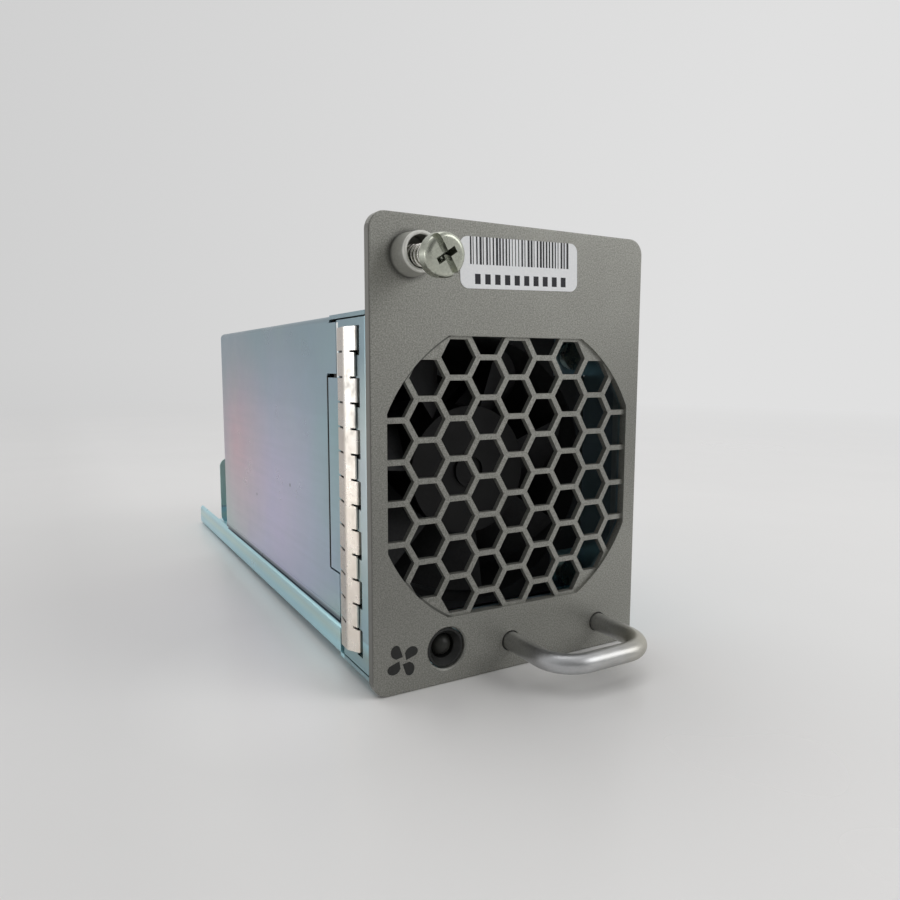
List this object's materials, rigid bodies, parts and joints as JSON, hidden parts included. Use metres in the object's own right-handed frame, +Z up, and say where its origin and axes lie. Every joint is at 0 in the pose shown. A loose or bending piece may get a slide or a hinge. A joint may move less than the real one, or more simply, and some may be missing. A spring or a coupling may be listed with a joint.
{
  "type": "switch fan tray",
  "caption": "Hot-swap switch fan tray: painted panel with honeycomb grille, pull handle and captive screw, on a sheet-metal duct that holds back-to-back axial fans and a rear plug.",
  "frame": {"origin": "on the tray's underside, at mid width, where it meets the rear (seating) face of the front panel", "axes": "+X to the right seen from the front, +Y into the chassis towards the rear plug, +Z up"},
  "size_m": [0.0632, 0.1805, 0.0867],
  "materials": {
    "panel_paint": "satin metallic grey paint",
    "zinc_sheet": "clear passivated zinc with a faint blue and pink sheen",
    "finger_alloy": "bright tin plate",
    "handle_aluminium": "satin",
    "ferrule_nickel": "satin nickel plate",
    "screw_nickel": "bright nickel plate",
    "spring_steel": "bright drawn wire",
    "label_stock": "matt white film",
    "black_plastic": "fine matt",
    "lamp_lens": "smoked lens, unlit",
    "fan_plastic": "glass-filled black",
    "impeller_plastic": "moulded black",
    "rotor_steel": "turned",
    "magnet_ferrite": "dark ferrite",
    "stator_steel": "laminated",
    "coil_copper": "enamelled copper wire",
    "board_green": "solder mask",
    "contact_gold": "gold flash"
  },
  "bodies": {
    "chassis": {"front_panel": "panel_paint", "grille_screen": "panel_paint", "front_frame": "zinc_sheet", "tray_floor": "zinc_sheet", "fan_cover": "zinc_sheet", "rear_fan_bracket": "zinc_sheet", "connector_bracket": "zinc_sheet", "emi_finger_strip": "finger_alloy", "pull_handle": "handle_aluminium", "captive_ferrule": "ferrule_nickel", "front_fan_screw_1": "screw_nickel", "front_fan_screw_2": "screw_nickel", "front_fan_screw_3": "screw_nickel", "front_fan_screw_4": "screw_nickel", "rear_fan_screw_1": "screw_nickel", "rear_fan_screw_2": "screw_nickel", "connector_screw_1": "screw_nickel", "connector_screw_2": "screw_nickel", "id_label": "label_stock", "led_holder": "black_plastic", "blind_mate_connector": "black_plastic", "status_led": "lamp_lens", "front_fan_frame": "fan_plastic", "front_upper_bearing": "rotor_steel", "front_lower_bearing": "rotor_steel", "front_stator_core": "stator_steel", "front_windings": "coil_copper", "front_motor_board": "board_green", "rear_fan_frame": "fan_plastic", "rear_upper_bearing": "rotor_steel", "rear_lower_bearing": "rotor_steel", "rear_stator_core": "stator_steel", "rear_windings": "coil_copper", "rear_motor_board": "board_green", "connector_contact_1": "contact_gold", "connector_contact_2": "contact_gold", "connector_contact_3": "contact_gold", "connector_contact_4": "contact_gold", "connector_contact_5": "contact_gold", "connector_contact_6": "contact_gold", "connector_contact_7": "contact_gold", "connector_contact_8": "contact_gold"},
    "front_rotor": {"front_impeller": "impeller_plastic", "front_rotor_cup": "rotor_steel", "front_magnet": "magnet_ferrite", "front_shaft": "rotor_steel"},
    "rear_rotor": {"rear_impeller": "impeller_plastic", "rear_rotor_cup": "rotor_steel", "rear_magnet": "magnet_ferrite", "rear_shaft": "rotor_steel"},
    "screw_tilter": {"captive_spring": "spring_steel"},
    "screw_slider": {"captive_retainer": "screw_nickel"},
    "screw": {"captive_screw": "screw_nickel"}
  },
  "joints": [
    {"name": "front_fan_spin", "type": "hinge", "parent": "chassis", "child": "front_rotor", "pos_m": [0, 0.03, 0.0353], "axis": [0, 1, 0], "continuous": true},
    {"name": "rear_fan_spin", "type": "hinge", "parent": "chassis", "child": "rear_rotor", "pos_m": [0, 0.075, 0.0353], "axis": [0, 1, 0], "continuous": true},
    {"name": "screw_tilt", "type": "hinge", "parent": "chassis", "child": "screw_tilter", "pos_m": [-0.0235, -0.0012, 0.07695], "axis": [-1, 0, 0], "range_deg": [0, 14]},
    {"name": "screw_push", "type": "slide", "parent": "screw_tilter", "child": "screw_slider", "axis": [0, 0.9925, 0.1219], "range_m": [0, 0.0048], "stiffness_N_per_m": 400, "springref_m": -0.002, "deforming": ["captive_spring"]},
    {"name": "screw_turn", "type": "hinge", "parent": "screw_slider", "child": "screw", "pos_m": [-0.0235, -0.0012, 0.07695], "axis": [0, 0.9925, 0.1219], "continuous": true}
  ]
}
